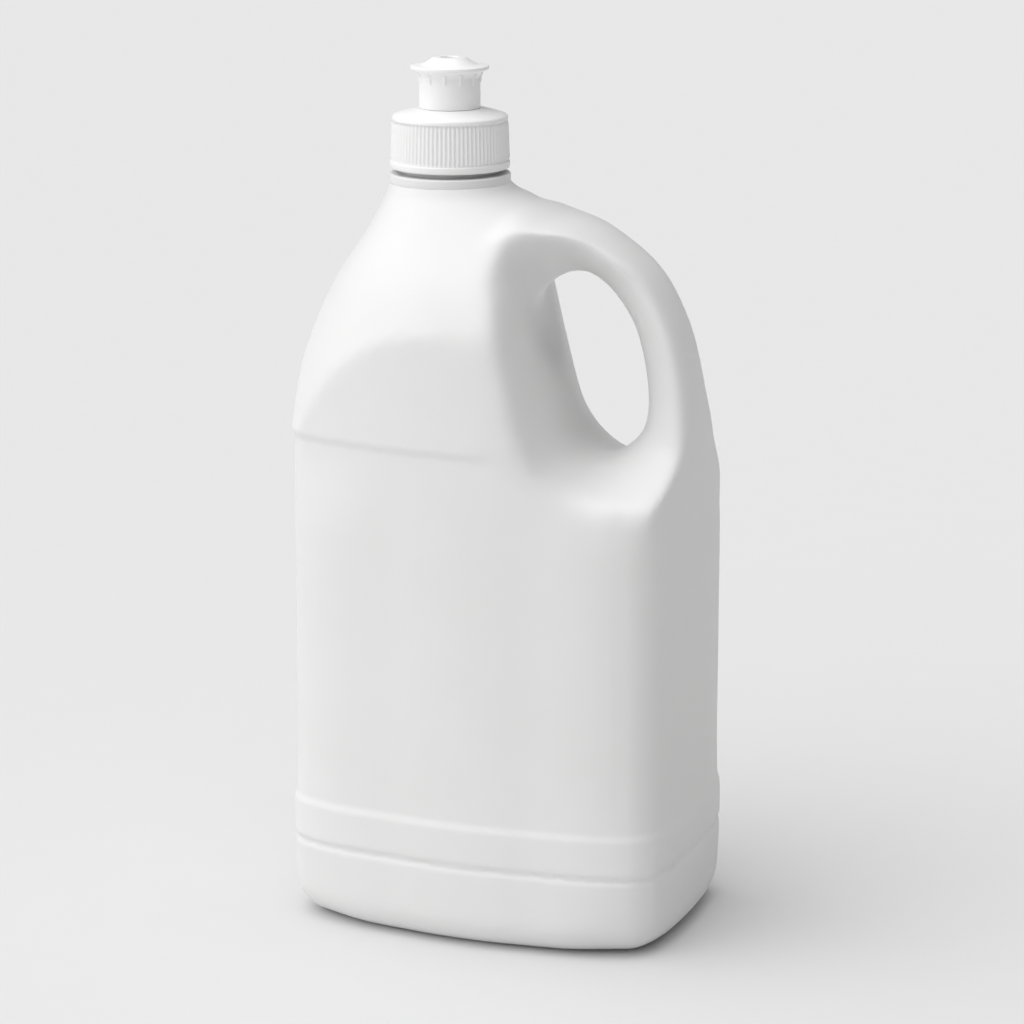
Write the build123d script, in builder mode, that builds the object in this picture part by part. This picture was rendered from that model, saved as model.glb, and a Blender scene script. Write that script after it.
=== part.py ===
# Plain blow-moulded household jug with a hollow through-handle and a push-pull dispensing cap.
# Millimetres, +Z up. The foot stands on z = 0 and the body is centred on the Z axis in plan.
# The neck and the cap stand left of the middle and the handle is on the right.

import os
from math import hypot, sqrt

from build123d import *

# Body in plan: a rounded rectangle with bowed sides
body_width = 109.0
body_depth = 80.0
side_bow = 10.5
end_bow = 2.7
plan_corner_radius = 10.0

# Body in height: rounded foot, groove, band and a slightly recessed label panel
base_edge_radius = 9.0
groove_height = 22.6
groove_half_width = 1.3
groove_depth = 0.9
panel_bottom = 34.0
panel_rise = 6.6
panel_depth = 0.7
panel_step = 1.8

# Moulded wall and the underside, which is pushed up inside a foot ring
wall = 1.4
foot_width = 12.0
push_up = 3.0
push_up_corner_radius = 8.0

# Shoulder below the collar and the soft edges of the upper body
shoulder_height = 71.0
arch_radius = 6.5
pocket_rim_radius = 3.5
handle_root_radius = 4.0

# Neck with its collar
neck_x = -16.8
collar_base = 199.0
collar_radius = 16.2
collar_height = 3.3
collar_bevel = 0.8
neck_radius = 12.65
neck_bore_radius = 10.6
neck_length = 12.7

# Foam washer between the neck's rim and the cap
washer_thickness = 1.0
washer_radius = 13.6
washer_hole_radius = 10.8

# Screw cap: ribbed skirt, plate and the turret that the spout slides on
cap_clearance = 1.6
cap_foot_radius = 16.0
cap_top_radius = 15.45
cap_bore_radius = 14.1
cap_lip_height = 2.0
cap_plate_thickness = 1.85
cap_top_rise = 1.85
seat_radius = 9.0
rib_count = 84
rib_width = 0.6
rib_depth = 0.4
rib_top_margin = 1.3
turret_radius = 6.7
turret_wall = 1.5
turret_height = 7.2
bead_height = 1.2
bead_overhang = 0.4
pin_radius = 2.1
pin_rise = 5.5
spoke_count = 3
spoke_width = 1.3
spoke_height = 2.6

# Pull spout
spout_radius = 8.13
slide_clearance = 0.15
lip_height = 1.3
recess_headroom = 0.7
flange_radius = 10.45
flange_thickness = 0.8
flare_height = 2.0
crown_radius = 5.6
crown_height = 2.2
orifice_radius = 2.35
orifice_length = 2.5
cone_radius = 5.2

half_width = body_width / 2
half_depth = body_depth / 2
side_bow_radius = ((half_width - end_bow) ** 2 + side_bow**2) / (2 * side_bow)
end_bow_radius = ((half_depth - side_bow) ** 2 + end_bow**2) / (2 * end_bow)
dome_bottom = collar_base - shoulder_height
panel_top = dome_bottom + panel_rise

# Dome at its five heights: share of the rise to the collar, of the neck's shift, of half the
# body's width to the left and to the right, and of half its depth
dome_shares = [
    (0.00, 0.30, 1.013, 2.39, 1.300),
    (0.31, 0.27, 0.971, 2.29, 1.130),
    (0.52, 0.24, 0.881, 2.11, 1.000),
    (0.73, 0.45, 0.668, 1.39, 0.805),
    (0.87, 0.77, 0.448, 0.70, 0.612),
]

# Handle pocket at its front, middle and back: share of half the depth, then the top of its wall,
# the bend and the foot of that wall (across, down) and the far end of its floor as shares of half
# the width and of the shoulder's height below the collar, and the radius between wall and floor
pocket_shares = [
    (-1.100, 0.150, (0.165, 0.297), (0.360, 1.061), 1.400, 22.0),
    (0.075, 0.108, (0.118, 0.336), (0.398, 0.975), 0.975, 14.0),
    (1.100, -0.092, (-0.073, 0.381), (0.073, 1.211), 1.211, 40.0),
]
pocket_bend_radius = 60.0

# Centre line of the handle as shares of half the width and of the shoulder's height below the
# collar, and at shares of that line its half thickness and its share of half the body's depth
handle_line_shares = [
    (-0.110, 0.177),
    (0.425, 0.172),
    (0.694, 0.332),
    (0.830, 0.556),
    (0.868, 0.802),
    (0.828, 1.085),
]
handle_sections = [
    (0.00, 8.0, 0.55),
    (0.14, 8.4, 0.60),
    (0.28, 7.0, 0.41),
    (0.38, 6.8, 0.31),
    (0.46, 6.9, 0.27),
    (0.63, 7.0, 0.26),
    (0.80, 7.2, 0.36),
    (0.88, 9.2, 0.50),
    (1.00, 11.5, 0.72),
]

# Heights up the neck and the cap
collar_top = collar_base + collar_height
neck_top = collar_top + neck_length
cap_bottom = collar_top + cap_clearance
cap_ceiling = neck_top + washer_thickness
cap_edge = cap_ceiling + cap_plate_thickness
seat_height = cap_edge + cap_top_rise
turret_top = seat_height + turret_height
rib_bottom = cap_bottom + cap_lip_height
rib_top = cap_edge - rib_top_margin
recess_top = turret_top + recess_headroom
spout_top = turret_top + pin_rise + 0.7
flange_top = spout_top - crown_height
flange_bottom = flange_top - flange_thickness

neck_axis = Axis((neck_x, 0, 0), (0, 0, 1))
neck_section = Plane(origin=(neck_x, 0, 0), x_dir=(1, 0, 0), z_dir=(0, -1, 0))


def plan_sketch(height, inset, corner_radius):
    """Plan outline of the body at a height, drawn in parallel to the outside by the inset."""
    side = side_bow_radius - inset
    end = end_bow_radius - inset
    side_centre = side_bow_radius - half_depth
    end_centre = end_bow_radius - half_width
    gap = hypot(side_centre, end_centre)
    along = (side**2 - end**2 + gap**2) / (2 * gap)
    across = sqrt(side**2 - along**2)
    corner_x = (across * side_centre - along * end_centre) / gap
    corner_y = (along * side_centre + across * end_centre) / gap - side_centre
    width = half_width - inset
    depth = half_depth - inset
    with BuildSketch(Plane.XY.offset(height)) as outline:
        with BuildLine():
            ThreePointArc((-corner_x, -corner_y), (0, -depth), (corner_x, -corner_y))
            ThreePointArc((corner_x, -corner_y), (width, 0), (corner_x, corner_y))
            ThreePointArc((corner_x, corner_y), (0, depth), (-corner_x, corner_y))
            ThreePointArc((-corner_x, corner_y), (-width, 0), (-corner_x, -corner_y))
        make_face()
        fillet(outline.vertices(), corner_radius)
    return outline.sketch


def block(bottom, top, inset, bottom_bevel=None, top_bevel=None):
    """Straight length of the body, with a bevel in and up where a step begins or ends."""
    with BuildPart() as form:
        add(plan_sketch(bottom, inset, plan_corner_radius - inset))
        extrude(amount=top - bottom)
        if top_bevel:
            face = form.faces().sort_by(Axis.Z)[-1]
            chamfer(face.edges(), length=top_bevel[0], length2=top_bevel[1], reference=face)
        if bottom_bevel:
            face = form.faces().sort_by(Axis.Z)[0]
            chamfer(face.edges(), length=bottom_bevel[0], length2=bottom_bevel[1], reference=face)
    return form.part


def trunk(inset):
    """Straight body with its rounded foot, groove, band and label panel."""
    groove_bevel = (groove_depth, groove_half_width)
    panel_bevel = (panel_depth, panel_step)
    panel_floor = panel_bottom + panel_step / 2
    panel_ceiling = panel_top - panel_step / 2
    with BuildPart() as form:
        add(block(inset, groove_height, inset, top_bevel=groove_bevel))
        fillet(form.faces().sort_by(Axis.Z)[0].edges(), base_edge_radius - inset)
        add(block(groove_height, panel_floor, inset, groove_bevel, panel_bevel))
        add(block(panel_floor, panel_ceiling, inset + panel_depth))
        add(block(panel_ceiling, collar_base, inset, bottom_bevel=panel_bevel))
        add(plan_sketch(0, foot_width - inset, push_up_corner_radius + inset))
        extrude(amount=push_up + inset, mode=Mode.SUBTRACT)
    return form.part


def dome(inset):
    """Shoulder that narrows from beyond the body's outline to the collar."""
    with BuildPart() as form:
        for rise, shift, left, right, deep in dome_shares:
            height = dome_bottom + rise * (collar_base - dome_bottom) - inset
            centre = (shift * neck_x, 0)
            with BuildSketch(Plane.XY.offset(height)):
                with BuildLine():
                    depth = deep * half_depth - inset
                    EllipticalCenterArc(centre, left * half_width - inset, depth, 90, arc_size=180)
                    EllipticalCenterArc(centre, right * half_width - inset, depth, 270, arc_size=180)
                make_face()
        with BuildSketch(Plane.XY.offset(collar_base - inset)):
            with BuildLine():
                radius = collar_radius - inset
                EllipticalCenterArc((neck_x, 0), radius, radius, 90, arc_size=180)
                EllipticalCenterArc((neck_x, 0), radius, radius, 270, arc_size=180)
            make_face()
        loft()
    return form.part


def pocket(inset):
    """Hollow between body and handle, cut right through and flared to the back."""
    outside = body_width
    above = collar_base + collar_radius
    with BuildPart() as form:
        for deep, top, bend, foot, end, radius in pocket_shares:
            wall_top = (top * half_width - inset, above)
            wall_bend = (bend[0] * half_width - inset, collar_base - bend[1] * shoulder_height)
            wall_foot = (foot[0] * half_width - inset, collar_base - foot[1] * shoulder_height - inset)
            floor_end = (outside, collar_base - end * shoulder_height - inset)
            with BuildSketch(Plane.XZ.offset(-deep * half_depth)):
                with BuildLine():
                    side = FilletPolyline(
                        wall_top, wall_bend, wall_foot, floor_end,
                        radius=[pocket_bend_radius + inset, radius + inset],
                    )
                    Polyline(side @ 1, (outside, above), side @ 0)
                make_face()
        loft()
    return form.part


def handle(inset):
    """Oval tube that bends from the neck down to the right end of the body."""
    points = [(x * half_width, collar_base - y * shoulder_height) for x, y in handle_line_shares]
    with BuildPart() as form:
        with BuildLine(Plane.XZ):
            line = Spline(*points, tangents=[(1, 0), (-0.14, -1)])
        for share, thickness, deep in handle_sections:
            section = Plane(origin=line @ share, x_dir=(0, 1, 0), z_dir=line % share)
            with BuildSketch(section):
                Ellipse(deep * half_depth - inset, thickness - inset)
        loft()
    return form.part


def jug_form(inset, root_radius=None):
    """Solid form of the jug below its collar: the outside, or the inside when inset by the wall."""
    outline = block(inset, collar_base, inset)
    middle = Plane.YZ.offset(half_width / 2)
    with BuildPart() as head:
        add(outline)
        split(bisect_by=Plane.XY.offset(dome_bottom), keep=Keep.TOP)
        add(dome(inset), mode=Mode.INTERSECT)
    with BuildPart() as handle_side:
        add(head.part)
        split(bisect_by=middle, keep=Keep.TOP)
    with BuildPart() as neck_side:
        add(head.part)
        split(bisect_by=middle, keep=Keep.BOTTOM)
        sides = neck_side.faces().filter_by(GeomType.CYLINDER)
        fillet(sides.edges().filter_by(GeomType.BSPLINE), arch_radius - inset)
    with BuildPart() as grip:
        add(handle(inset))
        add(outline, mode=Mode.INTERSECT)
    with BuildPart() as form:
        add(outline)
        split(bisect_by=Plane.XY.offset(dome_bottom), keep=Keep.BOTTOM)
        add(neck_side.part)
        add(handle_side.part)
        add(pocket(inset), mode=Mode.SUBTRACT)
        fillet(form.edges(Select.NEW), pocket_rim_radius - inset)
        add(grip.part)
        if root_radius:
            fillet(form.edges(Select.NEW).filter_by(lambda edge: edge.center().Z > panel_top), root_radius)
        add(trunk(inset), mode=Mode.INTERSECT)
    return form.part


# Jug body: one blow-moulded shell with a hollow handle
with BuildPart() as jug_body:
    add(jug_form(0, handle_root_radius))
    with BuildSketch(Plane.XY.offset(collar_base - collar_height)):
        with Locations((neck_x, 0)):
            Circle(collar_radius)
    extrude(amount=2 * collar_height)
    chamfer(jug_body.faces().sort_by(Axis.Z)[-1].edges(), collar_bevel)
    with BuildSketch(Plane.XY.offset(collar_top)):
        with Locations((neck_x, 0)):
            Circle(neck_radius)
    extrude(amount=neck_length)
    add(jug_form(wall), mode=Mode.SUBTRACT)
    with BuildSketch(Plane.XY.offset(neck_top)):
        with Locations((neck_x, 0)):
            Circle(neck_bore_radius)
    extrude(amount=-(neck_length + 2 * collar_height), mode=Mode.SUBTRACT)

# Sealing washer: foam ring that stays in the cap
with BuildPart() as sealing_washer:
    with BuildSketch(Plane.XY.offset(neck_top)):
        with Locations((neck_x, 0)):
            Circle(washer_radius)
            Circle(washer_hole_radius, mode=Mode.SUBTRACT)
    extrude(amount=washer_thickness)

# Grip ribs of the cap, cut to the skirt's taper
rib_core_bottom = cap_foot_radius - rib_depth
rib_core_top = cap_top_radius - rib_depth
with BuildPart() as cap_ribs:
    with BuildSketch(Plane.XY.offset(rib_bottom)):
        with Locations((neck_x, 0)):
            with PolarLocations(cap_bore_radius + rib_depth + 1.0, rib_count):
                Rectangle(2.0, rib_width)
    extrude(amount=rib_top - rib_bottom)
    with BuildSketch(neck_section):
        with BuildLine():
            Polyline(
                (cap_bore_radius + rib_depth, rib_bottom),
                (cap_foot_radius, rib_bottom),
                (cap_top_radius, rib_top),
                (cap_bore_radius + rib_depth, rib_top),
                close=True,
            )
        make_face()
    revolve(axis=neck_axis, mode=Mode.INTERSECT)

# Screw cap: skirt, plate, turret with its bead, and the pin that closes the spout
with BuildPart() as screw_cap:
    with BuildSketch(neck_section):
        with BuildLine():
            Polyline(
                (cap_bore_radius, cap_bottom),
                (cap_foot_radius, cap_bottom),
                (cap_foot_radius, rib_bottom),
                (rib_core_bottom, rib_bottom),
                (rib_core_top, rib_top),
                (cap_top_radius, rib_top),
                (cap_top_radius, cap_edge - 0.5),
                (cap_top_radius - 0.6, cap_edge),
                (seat_radius, seat_height),
                (turret_radius, seat_height),
                (turret_radius, turret_top - bead_height),
                (turret_radius + bead_overhang, turret_top - bead_height / 2),
                (turret_radius, turret_top),
                (turret_radius - turret_wall, turret_top),
                (turret_radius - turret_wall, cap_ceiling),
                (cap_bore_radius, cap_ceiling),
                close=True,
            )
        make_face()
    revolve(axis=neck_axis)
    add(cap_ribs.part)
    with BuildSketch(Plane.XY.offset(turret_top - spoke_height - bead_height)):
        with Locations((neck_x, 0)):
            Circle(pin_radius)
            with PolarLocations((turret_radius - turret_wall) / 2, spoke_count):
                Rectangle(turret_radius - turret_wall / 2, spoke_width)
    extrude(amount=spoke_height)
    with BuildSketch(Plane.XY.offset(turret_top - bead_height)):
        with Locations((neck_x, 0)):
            Circle(pin_radius)
    extrude(amount=bead_height + pin_rise)

# Pull spout: slides on the turret, and its orifice is closed by the pin when it is down
lip_radius = turret_radius + slide_clearance
recess_radius = turret_radius + bead_overhang + slide_clearance
with BuildPart() as pull_spout:
    with BuildSketch(neck_section):
        with BuildLine():
            Polyline(
                (lip_radius, seat_height),
                (spout_radius, seat_height),
                (spout_radius, flange_bottom - flare_height),
                (spout_radius + 0.5, flange_bottom - flare_height / 2),
                (flange_radius, flange_bottom),
                (flange_radius, flange_top),
                (flange_radius - 1.6, flange_top + 0.5),
                (crown_radius + 0.6, flange_top + 1.2),
                (crown_radius - 0.8, spout_top),
                (orifice_radius, spout_top),
                (orifice_radius, spout_top - orifice_length),
                (cone_radius, recess_top),
                (recess_radius, recess_top),
                (recess_radius, seat_height + lip_height),
                (lip_radius, seat_height + lip_height),
                close=True,
            )
        make_face()
    revolve(axis=neck_axis)

os.makedirs("parts", exist_ok=True)
jug_body.part.label = "jug_body"
sealing_washer.part.label = "sealing_washer"
screw_cap.part.label = "screw_cap"
pull_spout.part.label = "pull_spout"
export_step(jug_body.part, "parts/jug_body.step")
export_step(sealing_washer.part, "parts/sealing_washer.step")
export_step(screw_cap.part, "parts/screw_cap.step")
export_step(pull_spout.part, "parts/pull_spout.step")
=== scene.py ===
import math

import bmesh
import bpy
import numpy as np
from mathutils.bvhtree import BVHTree
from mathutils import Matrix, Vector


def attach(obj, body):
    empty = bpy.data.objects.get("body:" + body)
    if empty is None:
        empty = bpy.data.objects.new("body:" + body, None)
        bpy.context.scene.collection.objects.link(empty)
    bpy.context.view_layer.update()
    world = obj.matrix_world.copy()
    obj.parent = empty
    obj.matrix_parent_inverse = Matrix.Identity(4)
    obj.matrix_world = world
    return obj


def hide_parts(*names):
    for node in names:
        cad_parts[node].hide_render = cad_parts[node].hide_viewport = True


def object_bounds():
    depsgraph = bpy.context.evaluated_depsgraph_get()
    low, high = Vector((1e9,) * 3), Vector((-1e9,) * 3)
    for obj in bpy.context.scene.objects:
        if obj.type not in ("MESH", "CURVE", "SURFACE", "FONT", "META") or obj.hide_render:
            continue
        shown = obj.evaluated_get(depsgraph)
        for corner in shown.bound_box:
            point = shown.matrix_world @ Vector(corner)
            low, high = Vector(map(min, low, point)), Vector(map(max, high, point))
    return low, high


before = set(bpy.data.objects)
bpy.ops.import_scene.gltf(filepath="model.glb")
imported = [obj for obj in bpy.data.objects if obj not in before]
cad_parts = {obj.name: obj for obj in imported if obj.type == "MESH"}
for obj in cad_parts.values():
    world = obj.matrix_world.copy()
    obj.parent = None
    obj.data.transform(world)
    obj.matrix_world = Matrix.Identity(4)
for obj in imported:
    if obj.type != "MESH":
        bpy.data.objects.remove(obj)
cad_low, cad_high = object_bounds()

# Jug body
# One blow-moulded shell of white polyethylene with a hollow handle that opens into the body.
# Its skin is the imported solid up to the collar, with the mould's soft rims and the handle's
# flowing roots worked into it, and a lining one wall thickness inside.

# the skin is worked in metres, as the frame is, and the neck's axis is given in millimetres
neck_x = -16.8
skin_top = 0.2012
skin_cell = 0.0014
wall = 0.0014
weld = 2e-6
shell = bmesh.new()
shell.from_mesh(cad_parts["jug_body"].data)
bmesh.ops.remove_doubles(shell, verts=shell.verts, dist=weld)
everything = shell.verts[:] + shell.edges[:] + shell.faces[:]
bmesh.ops.bisect_plane(
    shell, geom=everything, plane_co=(0, 0, skin_top), plane_no=(0, 0, 1), clear_outer=True
)
lowest = min(shell.verts, key=lambda vert: vert.co.z)
outside = {lowest}
waiting = [lowest]
while waiting:
    vert = waiting.pop()
    for edge in vert.link_edges:
        other = edge.other_vert(vert)
        if other not in outside:
            outside.add(other)
            waiting.append(other)
inside = [vert for vert in shell.verts if vert not in outside]
bmesh.ops.delete(shell, geom=inside, context="VERTS")
rim = [edge for edge in shell.edges if edge.is_boundary]
bmesh.ops.edgeloop_fill(shell, edges=rim)
bmesh.ops.recalc_face_normals(shell, faces=shell.faces)
raw_mesh = bpy.data.meshes.new("raw_skin")
shell.to_mesh(raw_mesh)
mould = BVHTree.FromBMesh(shell)
shell.free()


def worked(mesh, kind, **settings):
    """The mesh as one modifier leaves it."""
    carrier = bpy.data.objects.new("carrier", mesh)
    bpy.context.collection.objects.link(carrier)
    modifier = carrier.modifiers.new("work", kind)
    for key, value in settings.items():
        setattr(modifier, key, value)
    depsgraph = bpy.context.evaluated_depsgraph_get()
    result = bpy.data.meshes.new_from_object(carrier.evaluated_get(depsgraph))
    bpy.data.objects.remove(carrier)
    return result


skin = worked(raw_mesh, "REMESH", mode="VOXEL", voxel_size=skin_cell)


def read_skin():
    """Points of the skin and the two ends of each of its edges."""
    points = np.empty(len(skin.vertices) * 3, np.float32)
    skin.vertices.foreach_get("co", points)
    ends = np.empty(len(skin.edges) * 2, np.int32)
    skin.edges.foreach_get("vertices", ends)
    return points.reshape(-1, 3).astype(float), ends.reshape(-1, 2).T


def write_skin(points):
    """Puts the points back into the skin."""
    skin.vertices.foreach_set("co", points.astype(np.float32).ravel())
    skin.update()


def pull(points, pairs):
    """The way from each point to the middle of its neighbours."""
    starts, stops = pairs
    count = len(points)
    valence = np.bincount(starts, minlength=count) + np.bincount(stops, minlength=count)
    total = np.empty_like(points)
    for axis in range(3):
        total[:, axis] = np.bincount(starts, points[stops, axis], count)
        total[:, axis] += np.bincount(stops, points[starts, axis], count)
        total[:, axis] -= valence * points[:, axis]
    return total / np.maximum(valence, 1)[:, None]


def ramp(values, low, high):
    """Smooth rise from 0 at low to 1 at high."""
    share = np.clip((values - low) / (high - low), 0, 1)
    return share * share * (3 - 2 * share)


def zone(values, rise, fall):
    """1 between a rise and a fall, each given by the places where it starts and ends."""
    return ramp(values, *rise) * (1 - ramp(values, *fall))


def skin_normals(mesh):
    """Outward direction at each point of a mesh."""
    normals = np.empty(len(mesh.vertices) * 3, np.float32)
    mesh.vertex_normals.foreach_get("vector", normals)
    return normals.reshape(-1, 3).astype(float)


easing_step = 0.5


def smoothed(points, pairs, weight, rounds):
    """The points after rounds of easing toward their neighbours, by a weight at each point."""
    for turn in range(rounds):
        points = points + easing_step * weight[:, None] * pull(points, pairs)
    return points


# the handle's tube follows a line that bends from the shoulder down to the end of the body
line_x = np.array((-6.0, 23.2, 37.8, 45.2, 47.3, 45.1)) / 1000
line_z = np.array((186.4, 186.8, 175.4, 159.5, 142.1, 122.0)) / 1000
line_points = 160
line_rounds = 60
line_step = 0.25
fine = np.linspace(0, 1, line_points)
knots = np.linspace(0, 1, len(line_x))
tube_x = np.interp(fine, knots, line_x)
tube_z = np.interp(fine, knots, line_z)
for turn in range(line_rounds):
    tube_x[1:-1] += line_step * (tube_x[:-2] + tube_x[2:] - 2 * tube_x[1:-1])
    tube_z[1:-1] += line_step * (tube_z[:-2] + tube_z[2:] - 2 * tube_z[1:-1])
along = np.concatenate(([0], np.cumsum(np.hypot(np.diff(tube_x), np.diff(tube_z)))))
along /= along[-1]
ahead_x = np.gradient(tube_x)
ahead_z = np.gradient(tube_z)
ahead = np.hypot(ahead_x, ahead_z)

# each point of the grip has a share along that line, a height out from it and a depth across it
grip_from_x = 0.004
grip_from_z = 0.118
spots, pairs = read_skin()
grip = np.where((spots[:, 0] > grip_from_x) & (spots[:, 2] > grip_from_z))[0]
offset_x = spots[grip, 0][:, None] - tube_x
offset_z = spots[grip, 2][:, None] - tube_z
nearest = (offset_x**2 + offset_z**2).argmin(1)
rows = np.arange(len(grip))
share = along[nearest]
outer_x = -(ahead_z / ahead)[nearest]
outer_z = (ahead_x / ahead)[nearest]
out = offset_x[rows, nearest] * outer_x + offset_z[rows, nearest] * outer_z
deep = spots[grip, 1].copy()

# the tube is flat on its outer side and narrows to the hole: half sizes of its section at stations
# along the line, with the shares that the hole's side narrows, the front draws in and the outside drops
stations = np.array((0.00, 0.14, 0.28, 0.38, 0.46, 0.63, 0.80, 0.88, 1.00))
half_thick = np.array((8.0, 8.4, 7.0, 6.8, 6.9, 7.0, 7.2, 9.2, 11.5)) / 1000
half_deep = np.array((22.0, 24.0, 16.4, 12.4, 10.8, 10.4, 14.4, 20.0, 28.8)) / 1000
narrowing = np.array((0.0, 0.62, 0.62, 0.50, 0.36, 0.24, 0.20, 0.15, 0.0))
tightening = np.array((0.0, 0.0, 0.0, 0.0, 0.0, 0.02, 0.24, 0.36, 0.0))
lowering = np.array((0.0, 0.30, 0.36, 0.32, 0.26, 0.20, 0.10, 0.0, 0.0))
tube_floor = (-1.7, -1.2)
tube_from_x = (0.007, 0.015)
tube_side = (1.15, 1.5)
least_reach = 1e-9
round_section = 2
flatness = 1.4
flat_height = (0.0, 0.5)
flat_along = (0.30, 0.45)
narrow_height = (-1.0, 0.9)
front_half = (-0.004, 0.004)
end_face_x = 0.0538
end_bow_radius = 0.1625
thick = np.interp(share, stations, half_thick)
depth = np.interp(share, stations, half_deep)
height = out / thick
in_tube = ramp(height, *tube_floor) * ramp(spots[grip, 0], *tube_from_x)
in_tube *= 1 - ramp(np.abs(deep) / depth, *tube_side)
squareness = round_section + flatness * ramp(height, *flat_height) * ramp(share, *flat_along) * in_tube
reach = np.hypot(height, deep / depth) + least_reach
fuller = (np.abs(height / reach) ** squareness + np.abs(deep / depth / reach) ** squareness) ** (
    -1 / squareness
)
lower = 1 - np.interp(share, stations, lowering) * in_tube * ramp(height, 0.0, 1.0)
shrink = 1 - np.interp(share, stations, narrowing) * in_tube * (1 - ramp(height, *narrow_height))
shift = out * (fuller * lower - 1)
spots[grip, 0] += shift * outer_x
spots[grip, 2] += shift * outer_z
tight = 1 - np.interp(share, stations, tightening) * in_tube * (1 - ramp(deep, *front_half))
spots[grip, 1] = deep * fuller * shrink * tight
end_face = end_face_x - spots[grip, 1] ** 2 / (2 * end_bow_radius)
spots[grip, 0] = np.minimum(spots[grip, 0], end_face)

# a web rounds the top of the hole where the tube leaves the body
web_depth = 0.0046
web_end_x = (0.0115, 0.0190)
web_height = (0.2, 0.8)
web_side_y = (0.012, 0.020)
web_from_z = (0.150, 0.165)
web = (1 - ramp(spots[grip, 0], *web_end_x)) * ramp(-height, *web_height)
web *= (1 - ramp(np.abs(deep), *web_side_y)) * ramp(spots[grip, 2], *web_from_z)
spots[grip, 2] -= web_depth * web

# hollows where the handle and the collar grow out of the body fill up into broad fillets
handle_from_x = (0.002, 0.016)
handle_from_z = (0.108, 0.118)
collar_reach = (0.019, 0.024)
collar_from_z = (0.190, 0.195)
collar_filling = 0.1
low_filling = 0.15
filling_from_z = (0.140, 0.155)
filling_rounds = 56
rounds_a_normal = 10
near_handle = ramp(spots[:, 0], *handle_from_x) * ramp(spots[:, 2], *handle_from_z)
from_neck = np.hypot(spots[:, 0] - neck_x / 1000, spots[:, 1])
near_collar = (1 - ramp(from_neck, *collar_reach)) * ramp(spots[:, 2], *collar_from_z)
filling = near_handle * (low_filling + (1 - low_filling) * ramp(spots[:, 2], *filling_from_z))
filling = np.maximum(filling, collar_filling * near_collar)
for turn in range(filling_rounds):
    if turn % rounds_a_normal == 0:
        write_skin(spots)
        normals = skin_normals(skin)
    outward = np.clip((pull(spots, pairs) * normals).sum(1), 0, None)
    spots += easing_step * (filling * outward)[:, None] * normals

# seen from the front, the hole's corners are round: only edges that lie in that view pull there
level_slope = 0.4
hole_from_x = (0.003, 0.008)
hole_from_z = (0.148, 0.156)
hole_top_z = (0.184, 0.190)
hole_rounds = 30
apart = spots[pairs[0]] - spots[pairs[1]]
level_pairs = pairs[:, np.abs(apart[:, 1]) < level_slope * np.linalg.norm(apart, axis=1)]
round_hole = ramp(spots[:, 0], *hole_from_x) * ramp(spots[:, 2], *hole_from_z)
round_hole *= 1 - ramp(spots[:, 2], *hole_top_z)
for turn in range(hole_rounds):
    if turn % rounds_a_normal == 0:
        write_skin(spots)
        normals = skin_normals(skin)
    step = pull(spots, level_pairs)
    step[:, 1] = 0
    into_hole = (step * normals).sum(1) > 0
    spots += easing_step * (round_hole * into_hole)[:, None] * step

# the rim of the hand pocket and of the ledge under it is broad and soft
ledge_side_y = (0.012, 0.020)
handle_easing = 0.6
rim_rounds = 20
pocket_rim = zone(spots[:, 0], rise=(-0.008, 0.002), fall=(0.020, 0.028))
pocket_rim *= zone(spots[:, 2], rise=(0.116, 0.128), fall=(0.182, 0.190))
ledge_rim = zone(spots[:, 0], rise=(0.008, 0.016), fall=(0.044, 0.050))
ledge_rim *= zone(spots[:, 2], rise=(0.108, 0.116), fall=(0.128, 0.136))
ledge_rim *= ramp(-spots[:, 1], *ledge_side_y) + ramp(spots[:, 1], *ledge_side_y)
easing = np.maximum(np.maximum(pocket_rim, ledge_rim), handle_easing * near_handle)
spots = smoothed(spots, pairs, easing, rim_rounds)

# the back of the handle's foot runs smoothly into the end of the body
foot_from_x = (0.038, 0.046)
foot_from_y = (-0.004, 0.006)
foot_rounds = 22
foot_back = ramp(spots[:, 0], *foot_from_x) * ramp(spots[:, 1], *foot_from_y)
foot_back *= zone(spots[:, 2], rise=(0.106, 0.116), fall=(0.130, 0.142))
spots = smoothed(spots, pairs, foot_back, foot_rounds)

# other rims and creases ease a little on both sides: drawn together, then let out again
cell_rounds = 2
cell_return = 0.52
least_softness = 0.05
shoulder_softness = 0.6
shoulder_from_z = (0.137, 0.150)
soft_rounds = 40
soft_return = 0.508
soft_shoulder = shoulder_softness * ramp(spots[:, 2], *shoulder_from_z)
softness = least_softness + (1 - least_softness) * np.maximum(near_handle, soft_shoulder)
for turn in range(cell_rounds):
    spots += easing_step * pull(spots, pairs)
    spots -= cell_return * pull(spots, pairs)
for turn in range(soft_rounds):
    spots += easing_step * softness[:, None] * pull(spots, pairs)
    spots -= soft_return * softness[:, None] * pull(spots, pairs)
write_skin(spots)

# the bands at the foot and the crease under the shoulder are crisp, with finer cells
foot_band_z = (0.0185, 0.0370)
crease_z = (0.1315, 0.1395)
crease_end_x = 0.026


def in_band(spot):
    """Whether a point of the skin lies in the bands at the foot or in the crease."""
    at_foot = foot_band_z[0] < spot.z < foot_band_z[1]
    at_crease = crease_z[0] < spot.z < crease_z[1] and spot.x < crease_end_x
    return at_foot or at_crease


bands = bmesh.new()
bands.from_mesh(skin)
band_edges = [edge for edge in bands.edges if all(in_band(vert.co) for vert in edge.verts)]
bmesh.ops.subdivide_edges(bands, edges=band_edges, cuts=1, use_grid_fill=True)

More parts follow.
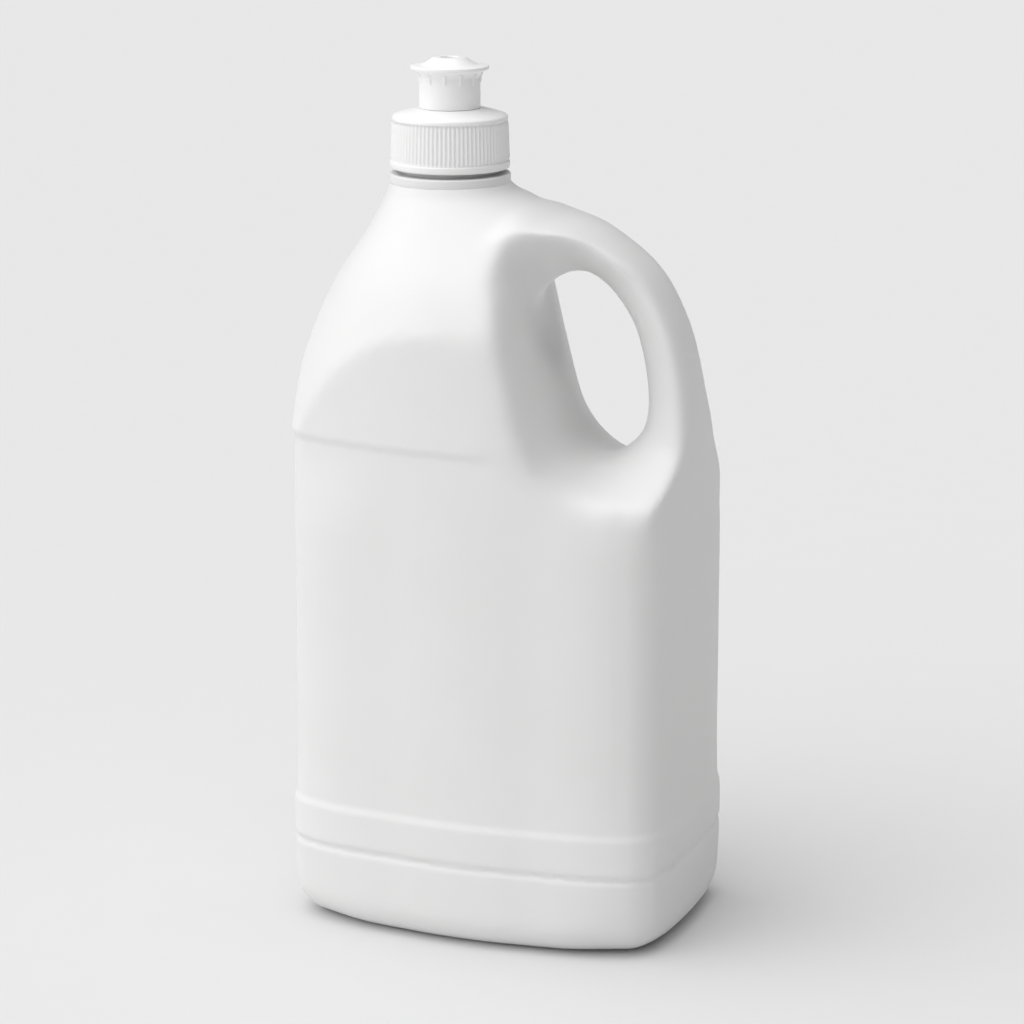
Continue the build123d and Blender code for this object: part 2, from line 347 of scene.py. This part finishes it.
# below a level that rises clear of the hand pocket, the skin lies on the mould's own surface
clear_left_x = (-0.002, 0.008)
clear_wall_x = (0.006, 0.018)
clear_wall_y = (0.0345, 0.0370)
laid_level = 0.1020
laid_rise = 0.0400
laid_fade = 0.006
free_end_x = (0.047, 0.0525)
free_end = 0.6
for vert in bands.verts:
    clear_left = 1 - ramp(vert.co.x, *clear_left_x)
    clear_wall = (1 - ramp(vert.co.x, *clear_wall_x)) * ramp(abs(vert.co.y), *clear_wall_y)
    top = laid_level + laid_rise * max(clear_left, clear_wall)
    if vert.co.z < top + laid_fade:
        at_end = free_end * ramp(vert.co.x, *free_end_x)
        free = max(ramp(vert.co.z, top - laid_fade, top + laid_fade), at_end)
        vert.co = mould.find_nearest(vert.co)[0].lerp(vert.co, float(free))
bands.to_mesh(skin)
bands.free()

# the foot of the hand pocket runs out softly over the wall
pocket_foot_rounds = 12
spots, pairs = read_skin()
pocket_foot = zone(spots[:, 0], rise=(0.002, 0.012), fall=(0.034, 0.042))
pocket_foot *= zone(spots[:, 2], rise=(0.094, 0.102), fall=(0.142, 0.150))
spots = smoothed(spots, pairs, pocket_foot, pocket_foot_rounds)

# the upright corners of the body turn in a wider curve, with the bands running on round them
corner_from_y = (0.019, 0.028)
corner_top_z = (0.112, 0.126)
corner_rounds = 70
spread_rounds = 32
spread_step = 0.7
corner_gain = 1.3
corner_foot_z = (0.010, 0.020)
corner = zone(np.abs(spots[:, 0]), rise=(0.028, 0.042), fall=(0.0505, 0.0535))
corner *= ramp(np.abs(spots[:, 1]), *corner_from_y) * (1 - ramp(spots[:, 2], *corner_top_z))
change = smoothed(spots, pairs, corner, corner_rounds) - spots
for turn in range(spread_rounds):
    change += spread_step * pull(change, pairs)
change[:, :2] *= corner_gain
change[:, 2] *= 1 - ramp(spots[:, 2], *corner_foot_z)

# the ends of the body are a little deeper than the bow of its sides gives
ends_from_x = (0.016, 0.046)
ends_top_z = (0.108, 0.134)
deeper_ends = 0.075
near_ends = ramp(np.abs(spots[:, 0]), *ends_from_x) * (1 - ramp(spots[:, 2], *ends_top_z))
change[:, 1] += deeper_ends * near_ends * spots[:, 1]
spots = np.clip(spots + change, np.array(cad_low), np.array(cad_high))
write_skin(spots)

# the mouth opens under the collar, and the lining joins the skin round it
mouth_level = 0.1990
mouth_radius = 0.0145
lining_share = 0.15
double = bmesh.new()
double.from_mesh(skin)
lid = [
    vert
    for vert in double.verts
    if vert.co.z > mouth_level and math.hypot(vert.co.x - neck_x / 1000, vert.co.y) < mouth_radius
]
bmesh.ops.delete(double, geom=lid, context="VERTS")
double.to_mesh(skin)
lining = skin.copy()
inner = np.empty(len(lining.vertices) * 3, np.float32)
lining.vertices.foreach_get("co", inner)
inner = inner.reshape(-1, 3) - wall * skin_normals(lining)
lining.vertices.foreach_set("co", inner.astype(np.float32).ravel())
lining.update()
double.from_mesh(worked(lining, "DECIMATE", ratio=lining_share))
mouth = [edge for edge in double.edges if edge.is_boundary]
bmesh.ops.bridge_loops(double, edges=mouth)
bmesh.ops.recalc_face_normals(double, faces=double.faces)
double.to_mesh(skin)
double.free()
jug = bpy.data.objects.new("jug_shell", skin)
bpy.context.collection.objects.link(jug)
jug.data.shade_smooth()
jug.data.materials.clear()


def moulded_white(name, tone, roughness, waviness, seam):
    """White moulded plastic with cloudy colour and gloss, a fine grain and a mould seam at y = 0."""
    material = bpy.data.materials.new(name)
    material.use_nodes = True
    make = material.node_tree.nodes.new
    join = material.node_tree.links.new
    plastic = material.node_tree.nodes["Principled BSDF"]
    place = make("ShaderNodeTexCoord")
    cloud = make("ShaderNodeTexNoise")
    cloud.inputs["Scale"].default_value = 26.0
    cloud.inputs["Detail"].default_value = 4.0
    join(place.outputs["Object"], cloud.inputs["Vector"])
    shades = make("ShaderNodeValToRGB")
    shades.color_ramp.elements[0].position = 0.3
    shades.color_ramp.elements[0].color = (tone * 0.985, tone * 0.985, tone * 0.98, 1)
    shades.color_ramp.elements[1].position = 0.7
    shades.color_ramp.elements[1].color = (tone * 1.01, tone * 1.01, tone * 1.01, 1)
    join(cloud.outputs["Fac"], shades.inputs["Fac"])
    join(shades.outputs["Color"], plastic.inputs["Base Color"])
    gloss = make("ShaderNodeMapRange")
    gloss.inputs["From Min"].default_value = 0.3
    gloss.inputs["From Max"].default_value = 0.7
    gloss.inputs["To Min"].default_value = roughness - 0.05
    gloss.inputs["To Max"].default_value = roughness + 0.05
    join(cloud.outputs["Fac"], gloss.inputs["Value"])
    join(gloss.outputs["Result"], plastic.inputs["Roughness"])
    grain = make("ShaderNodeTexNoise")
    grain.inputs["Scale"].default_value = 1500.0
    grain.inputs["Detail"].default_value = 2.0
    join(place.outputs["Object"], grain.inputs["Vector"])
    across = make("ShaderNodeSeparateXYZ")
    join(place.outputs["Object"], across.inputs["Vector"])
    distance = make("ShaderNodeMath")
    distance.operation = "ABSOLUTE"
    join(across.outputs["Y"], distance.inputs[0])
    ridge = make("ShaderNodeMapRange")
    ridge.inputs["From Min"].default_value = 0.00005
    ridge.inputs["From Max"].default_value = 0.0004
    ridge.inputs["To Min"].default_value = seam
    ridge.inputs["To Max"].default_value = 0.0
    join(distance.outputs[0], ridge.inputs["Value"])
    fine_height = make("ShaderNodeMath")
    fine_height.operation = "MULTIPLY_ADD"
    fine_height.inputs[1].default_value = 0.25
    join(grain.outputs["Fac"], fine_height.inputs[0])
    join(ridge.outputs["Result"], fine_height.inputs[2])
    wave_height = make("ShaderNodeMath")
    wave_height.operation = "MULTIPLY_ADD"
    wave_height.inputs[1].default_value = waviness
    join(cloud.outputs["Fac"], wave_height.inputs[0])
    join(fine_height.outputs[0], wave_height.inputs[2])
    relief = make("ShaderNodeBump")
    relief.inputs["Strength"].default_value = 0.3
    relief.inputs["Distance"].default_value = 0.0001
    join(wave_height.outputs[0], relief.inputs["Height"])
    join(relief.outputs["Normal"], plastic.inputs["Normal"])
    return material


polyethylene = moulded_white("white_polyethylene", 0.80, 0.45, 4.0, 0.8)
jug.data.materials.append(polyethylene)
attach(jug, "jug")
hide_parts("jug_body")

# Neck finish
# The top of the same blow-moulded shell: a collar that the cap stops above, and a straight neck
# with nearly one and a half turns of right-hand thread. Turned outlines are in millimetres.
skirt_foot = 198.6
skirt_foot_radius = 15.4
collar_bottom = 200.2
collar_radius = 16.2
collar_top = 202.6
neck_radius = 12.65
neck_bore = 10.6
neck_top = 215.0
pitch = 4.23
thread_start = 206.8
thread_turns = 1.4
thread_height = 1.0
thread_base = 1.9
thread_crest = 0.6
thread_fade = 0.12
neck_wall_bottom = 205.6
neck_wall_top = 214.0
axis_weld = 1e-7


def eased(corners, bends=5):
    """An outline of (radius, height, ease) corners, each rounded back by its ease."""
    points = []
    for index, (radius, height, ease) in enumerate(corners):
        corner_point = np.array((radius, height))
        sides = []
        for neighbour in (corners[index - 1], corners[(index + 1) % len(corners)]):
            away = np.array(neighbour[:2]) - corner_point
            length = np.hypot(*away)
            sides.append(corner_point + away / length * min(ease, 0.48 * length))
        for bend in range(bends + 1 if ease else 1):
            part = bend / bends if ease else 0.5
            blend = (1 - part) ** 2 * sides[0] + 2 * part * (1 - part) * corner_point + part**2 * sides[1]
            points.append(tuple(blend))
    return points


def turned(name, outline, steps, ripple=None):
    """A body turned about the neck's axis from a closed outline, with a ripple added to its radius."""
    lathe = bmesh.new()
    rings = []
    for step in range(steps):
        angle = 2 * math.pi * step / steps
        ring = []
        for radius, height in outline:
            swell = ripple(angle, radius, height) if ripple else 0.0
            ring_x = neck_x + (radius + swell) * math.cos(angle)
            ring_y = (radius + swell) * math.sin(angle)
            ring.append(lathe.verts.new((ring_x / 1000, ring_y / 1000, height / 1000)))
        rings.append(ring)
    for step in range(steps):
        here, there = rings[step], rings[(step + 1) % steps]
        for index in range(len(outline)):
            after = (index + 1) % len(outline)
            lathe.faces.new((here[index], there[index], there[after], here[after]))
    bmesh.ops.remove_doubles(lathe, verts=lathe.verts, dist=axis_weld)
    bmesh.ops.recalc_face_normals(lathe, faces=lathe.faces)
    mesh = bpy.data.meshes.new(name)
    lathe.to_mesh(mesh)
    lathe.free()
    mesh.shade_smooth()
    piece = bpy.data.objects.new(name, mesh)
    bpy.context.collection.objects.link(piece)
    return piece


def thread(angle, height, start):
    """Share of the full thread height at a point of a wall, 1 on the crest."""
    turns = (height - start) / pitch
    nearest_turn = round(turns - angle / (2 * math.pi)) + angle / (2 * math.pi)
    off = abs(turns - nearest_turn) * pitch
    flank = (thread_base - thread_crest) / 2
    share_up = min(max((thread_base / 2 - off) / flank, 0.0), 1.0)
    fade = zone(nearest_turn, (0.0, thread_fade), (thread_turns - thread_fade, thread_turns))
    return share_up * float(fade)


def neck_ripple(angle, radius, height):
    """The neck's outer thread."""
    return thread_height * thread(angle, height, thread_start) if radius == neck_radius else 0.0


neck_wall = [(neck_radius, height, 0) for height in np.linspace(neck_wall_bottom, neck_wall_top, 36)]
neck_outline = eased(
    [(neck_bore, skirt_foot, 0), (skirt_foot_radius, skirt_foot, 0), (collar_radius, collar_bottom, 0.6)]
    + [(collar_radius, collar_top, 0.6), (neck_radius, collar_top, 0.5)]
    + neck_wall
    + [(neck_radius - 0.1, neck_top, 0.4), (neck_bore, neck_top, 0.4)]
)
neck = turned("neck_finish", neck_outline, 144, neck_ripple)
neck.data.materials.append(polyethylene)
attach(neck, "jug")

# Sealing washer
# A ring of white closed-cell foam, punched from sheet and pressed into the ceiling of the cap.
# It lies on the rim of the neck and goes up with the cap.
washer_hole = 10.8
washer_radius = 13.6
washer_bottom = 215.02
washer_top = 215.98
washer_ease = 0.2
washer_outline = eased(
    [(washer_hole, washer_bottom, washer_ease), (washer_radius, washer_bottom, washer_ease)]
    + [(washer_radius, washer_top, washer_ease), (washer_hole, washer_top, washer_ease)]
)
washer = turned("washer_ring", washer_outline, 120)
foam = bpy.data.materials.new("white_foam")
foam.use_nodes = True
foam_nodes = foam.node_tree.nodes
foam_place = foam_nodes.new("ShaderNodeTexCoord")
cells = foam_nodes.new("ShaderNodeTexVoronoi")
cells.inputs["Scale"].default_value = 2600.0
foam.node_tree.links.new(foam_place.outputs["Object"], cells.inputs["Vector"])
foam_shades = foam_nodes.new("ShaderNodeValToRGB")
foam_shades.color_ramp.elements[0].color = (0.86, 0.86, 0.84, 1)
foam_shades.color_ramp.elements[1].color = (0.78, 0.78, 0.76, 1)
foam.node_tree.links.new(cells.outputs["Distance"], foam_shades.inputs["Fac"])
foam_shader = foam_nodes["Principled BSDF"]
foam_shader.inputs["Roughness"].default_value = 0.9
foam.node_tree.links.new(foam_shades.outputs["Color"], foam_shader.inputs["Base Color"])
pits = foam_nodes.new("ShaderNodeBump")
pits.inputs["Strength"].default_value = 0.5
pits.inputs["Distance"].default_value = 0.0001
foam.node_tree.links.new(cells.outputs["Distance"], pits.inputs["Height"])
foam.node_tree.links.new(pits.outputs["Normal"], foam_shader.inputs["Normal"])
washer.data.materials.append(foam)
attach(washer, "washer")
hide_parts("sealing_washer")

# Screw cap
# Injection-moulded white polypropylene: a ribbed skirt over a plain lip, a shallow cone, and the
# turret with the pin and its three spokes. It screws on the neck with its own inner thread.
cap_bore = 14.1
cap_bottom = 203.9
cap_foot_radius = 16.0
cap_top_radius = 15.45
cap_ceiling = 216.0
cap_edge = 217.85
seat_height = 219.7
turret_radius = 6.7
turret_bore = 5.2
turret_top = 226.9
rib_bottom = 205.9
rib_top = 216.55
rib_count = 84
rib_depth = 0.4
rib_lead_in = 0.4
rib_run_out = 0.5
rib_sharpness = 1.5
skirt_from = 15.0
cap_thread_height = 0.9
cap_thread_top = 214.4
cap_thread_bottom = 205.4
seat_radius = 9.0
bead_bottom = 225.7
bead_middle = 226.3
bead_swell = 0.4
pin_radius = 2.1
pin_bottom = 223.1
pin_top = 232.7
spoke_count = 3
# the spokes are cut from cubes, so their sizes are in metres
spoke_size = (0.0045, 0.0013, 0.0026)
spoke_place = (0.0034, 0, 0.2244)
spoke_ease = 0.0002


def cap_ripple(angle, radius, height):
    """The skirt's ribs outside and the cap's thread inside."""
    if radius == cap_bore:
        return -cap_thread_height * thread(angle, height, thread_start + pitch / 2)
    if radius > skirt_from and rib_bottom < height < rib_top:
        swing = 0.5 + 0.5 * math.cos(rib_count * angle)
        ends_off = zone(height, (rib_bottom, rib_bottom + rib_lead_in), (rib_top - rib_run_out, rib_top))
        return rib_depth * swing**rib_sharpness * float(ends_off)
    return 0.0


def skirt(height):
    """Radius of the skirt between its ribs."""
    rise = (height - cap_bottom) / (cap_edge - cap_bottom)
    return cap_foot_radius + (cap_top_radius - cap_foot_radius) * rise - rib_depth


cap_wall = [(cap_bore, height, 0) for height in np.linspace(cap_thread_top, cap_thread_bottom, 37)]
rib_wall = [(skirt(height), height, 0) for height in np.linspace(rib_bottom + 0.01, rib_top - 0.01, 14)]
cap_outline = eased(
    [(cap_bore - 0.05, cap_ceiling, 0.3)]
    + cap_wall
    + [(cap_bore + 0.05, cap_bottom, 0.3), (cap_foot_radius - 0.05, cap_bottom, 0.7)]
    + [(cap_foot_radius, rib_bottom - 0.15, 0.3)]
    + rib_wall
    + [(cap_top_radius + 0.03, rib_top + 0.2, 0.15), (cap_top_radius - 0.1, cap_edge + 0.15, 1.5)]
    + [(seat_radius, seat_height, 0.8), (turret_radius, seat_height, 0.3)]
    + [(turret_radius, bead_bottom, 0.2), (turret_radius + bead_swell, bead_middle, 0.2)]
    + [(turret_radius, turret_top, 0.2)]
    + [(turret_bore, turret_top, 0.3), (turret_bore, cap_ceiling, 0.3)]
)
cap = turned("cap_shell", cap_outline, rib_count * 5, cap_ripple)
pin_outline = eased(
    [(0, pin_bottom, 0), (pin_radius, pin_bottom, 0.3), (pin_radius, pin_top, 0.7), (0, pin_top, 0)]
)
pin = turned("cap_pin", pin_outline, 48)
joined = bmesh.new()
joined.from_mesh(cap.data)
joined.from_mesh(pin.data)
bpy.data.objects.remove(pin)
for spoke in range(spoke_count):
    bar = bmesh.ops.create_cube(joined, size=1.0)["verts"]
    bmesh.ops.scale(joined, vec=spoke_size, verts=bar)
    bmesh.ops.translate(joined, vec=spoke_place, verts=bar)
    turn_by = 2 * math.pi * spoke / spoke_count
    for vert in bar:
        east, north = vert.co.x, vert.co.y
        vert.co.x = neck_x / 1000 + east * math.cos(turn_by) - north * math.sin(turn_by)
        vert.co.y = east * math.sin(turn_by) + north * math.cos(turn_by)
    bar_edges = list({edge for vert in bar for edge in vert.link_edges})
    bmesh.ops.bevel(joined, geom=bar_edges, offset=spoke_ease, segments=2, affect="EDGES")
joined.to_mesh(cap.data)
joined.free()
cap.data.shade_smooth()
cap.modifiers.new("flat_walls", "WEIGHTED_NORMAL")
cap.data.materials.append(moulded_white("cap_polypropylene", 0.91, 0.40, 1.0, 0.0))
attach(cap, "cap")
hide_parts("screw_cap")

# Pull spout
# Injection-moulded white polypropylene: a plain barrel with a pull flange and a low crown round
# the orifice. Its lip snaps over the bead of the turret, and small fins stiffen the flange.
spout_radius = 8.13
spout_top = 233.1
spout_bottom = seat_height + 0.02
lip_radius = 6.85
lip_top = 221.0
recess_radius = 7.25
recess_top = 227.6
cone_radius = 5.2
orifice_radius = 2.35
orifice_bottom = 230.6
flange_radius = 10.45
flange_bottom = 230.05
flange_top = 230.9
fin_count = 12
fin_offset = math.radians(12.8)
fin_bottom = 225.9
fin_top = 229.0
fin_rise = (226.0, 227.2)
fin_height = 0.35
fin_flank = (0.15, 0.45)
fin_wall_bottom = 225.8
fin_wall_top = 228.0


def fin_ripple(angle, radius, height):
    """Small fins under the flange."""
    if radius < spout_radius - 0.01 or not fin_bottom < height < fin_top:
        return 0.0
    off = (angle - fin_offset) * fin_count / (2 * math.pi)
    off = abs(off - round(off)) * 2 * math.pi * spout_radius / fin_count
    return fin_height * float((1 - ramp(off, *fin_flank)) * ramp(height, *fin_rise))


barrel = [(spout_radius, height, 0) for height in np.linspace(fin_wall_bottom, fin_wall_top, 8)]
spout_outline = eased(
    [(lip_radius, spout_bottom, 0.2), (spout_radius, spout_bottom, 0.4)]
    + barrel
    + [(8.63, 229.1, 0.5), (10.40, flange_bottom, 0.2), (flange_radius, flange_top, 0.3), (7.4, 231.1, 0.9)]
    + [(cone_radius, 232.5, 0.8), (4.4, spout_top, 0.5), (orifice_radius, spout_top, 0.25)]
    + [(orifice_radius, orifice_bottom, 0.2), (cone_radius, 227.62, 0.1), (recess_radius, recess_top, 0.3)]
    + [(recess_radius, lip_top, 0.15), (lip_radius, lip_top, 0.1)]
)
spout = turned("spout_barrel", spout_outline, fin_count * 24, fin_ripple)
spout.modifiers.new("flat_walls", "WEIGHTED_NORMAL")
spout.data.materials.append(moulded_white("spout_polypropylene", 0.93, 0.38, 1.0, 0.0))
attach(spout, "spout")
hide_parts("pull_spout")

# Floor
# A wide sheet of pale paper with a faint grain, laid flat. It fills the picture behind and under
# the jug, which stands on it.
floor_size = 14.0
floor_middle = (0, 3, 0)
bpy.ops.mesh.primitive_plane_add(size=floor_size, location=floor_middle)
floor = bpy.context.object
floor.name = "floor"
paper = bpy.data.materials.new("pale_paper")
paper.use_nodes = True
paper_nodes = paper.node_tree.nodes
fibres = paper_nodes.new("ShaderNodeTexNoise")
fibres.inputs["Scale"].default_value = 900.0
paper_shades = paper_nodes.new("ShaderNodeValToRGB")
paper_shades.color_ramp.elements[0].color = (0.715, 0.715, 0.715, 1)
paper_shades.color_ramp.elements[1].color = (0.725, 0.725, 0.725, 1)
paper.node_tree.links.new(fibres.outputs["Fac"], paper_shades.inputs["Fac"])
paper_shader = paper_nodes["Principled BSDF"]
paper.node_tree.links.new(paper_shades.outputs["Color"], paper_shader.inputs["Base Color"])
paper_shader.inputs["Roughness"].default_value = 0.9
paper_shader.inputs["Specular IOR Level"].default_value = 0.0
floor.data.materials.append(paper)

# Light
# One broad soft glow from the upper left and front, a pale canopy overhead and an even surround,
# all made by the world with no lamps.
glow_azimuth = math.radians(221)
glow_height = math.radians(38)
glow_spread = 6.0
glow = 1.8
surround = 0.15
canopy_spread = 16.0
canopy_light = 2.2
world = bpy.data.worlds.new("studio")
bpy.context.scene.world = world
world.use_nodes = True
sky = world.node_tree.nodes
tie = world.node_tree.links.new
direction = sky.new("ShaderNodeTexCoord")


def lobe(aim, spread, level, base):
    """Brightness that falls off round one direction, added to a base level."""
    toward = sky.new("ShaderNodeVectorMath")
    toward.operation = "DOT_PRODUCT"
    toward.inputs[1].default_value = aim
    tie(direction.outputs["Generated"], toward.inputs[0])
    half = sky.new("ShaderNodeMath")
    half.operation = "MULTIPLY_ADD"
    half.inputs[1].default_value = 0.5
    half.inputs[2].default_value = 0.5
    tie(toward.outputs["Value"], half.inputs[0])
    narrow = sky.new("ShaderNodeMath")
    narrow.operation = "POWER"
    narrow.inputs[1].default_value = spread
    tie(half.outputs[0], narrow.inputs[0])
    total = sky.new("ShaderNodeMath")
    total.operation = "MULTIPLY_ADD"
    total.inputs[1].default_value = level
    tie(narrow.outputs[0], total.inputs[0])
    if isinstance(base, float):
        total.inputs[2].default_value = base
    else:
        tie(base, total.inputs[2])
    return total.outputs[0]


glow_aim = (
    math.cos(glow_azimuth) * math.cos(glow_height),
    math.sin(glow_azimuth) * math.cos(glow_height),
    math.sin(glow_height),
)
main_light = lobe(glow_aim, glow_spread, glow, surround)
all_light = lobe((0, 0, 1), canopy_spread, canopy_light, main_light)
tie(all_light, sky["Background"].inputs["Strength"])
sky["Background"].inputs["Color"].default_value = (1, 1, 1, 1)

# Camera
# Stands right of the front, about ten centimetres higher than the cap, and looks slightly down
# through a long lens.
camera_place = (0.3305, -0.8539, 0.3367)
camera_tilt = math.radians(76.15)
camera_turn = math.radians(21.11)
camera_data = bpy.data.cameras.new("camera")
camera_data.lens = 122.6
camera_data.sensor_width = 36.0
camera = bpy.data.objects.new("camera", camera_data)
bpy.context.collection.objects.link(camera)
camera.location = camera_place
camera.rotation_euler = (camera_tilt, 0, camera_turn)
bpy.context.scene.camera = camera
bpy.context.scene.view_settings.view_transform = "Standard"
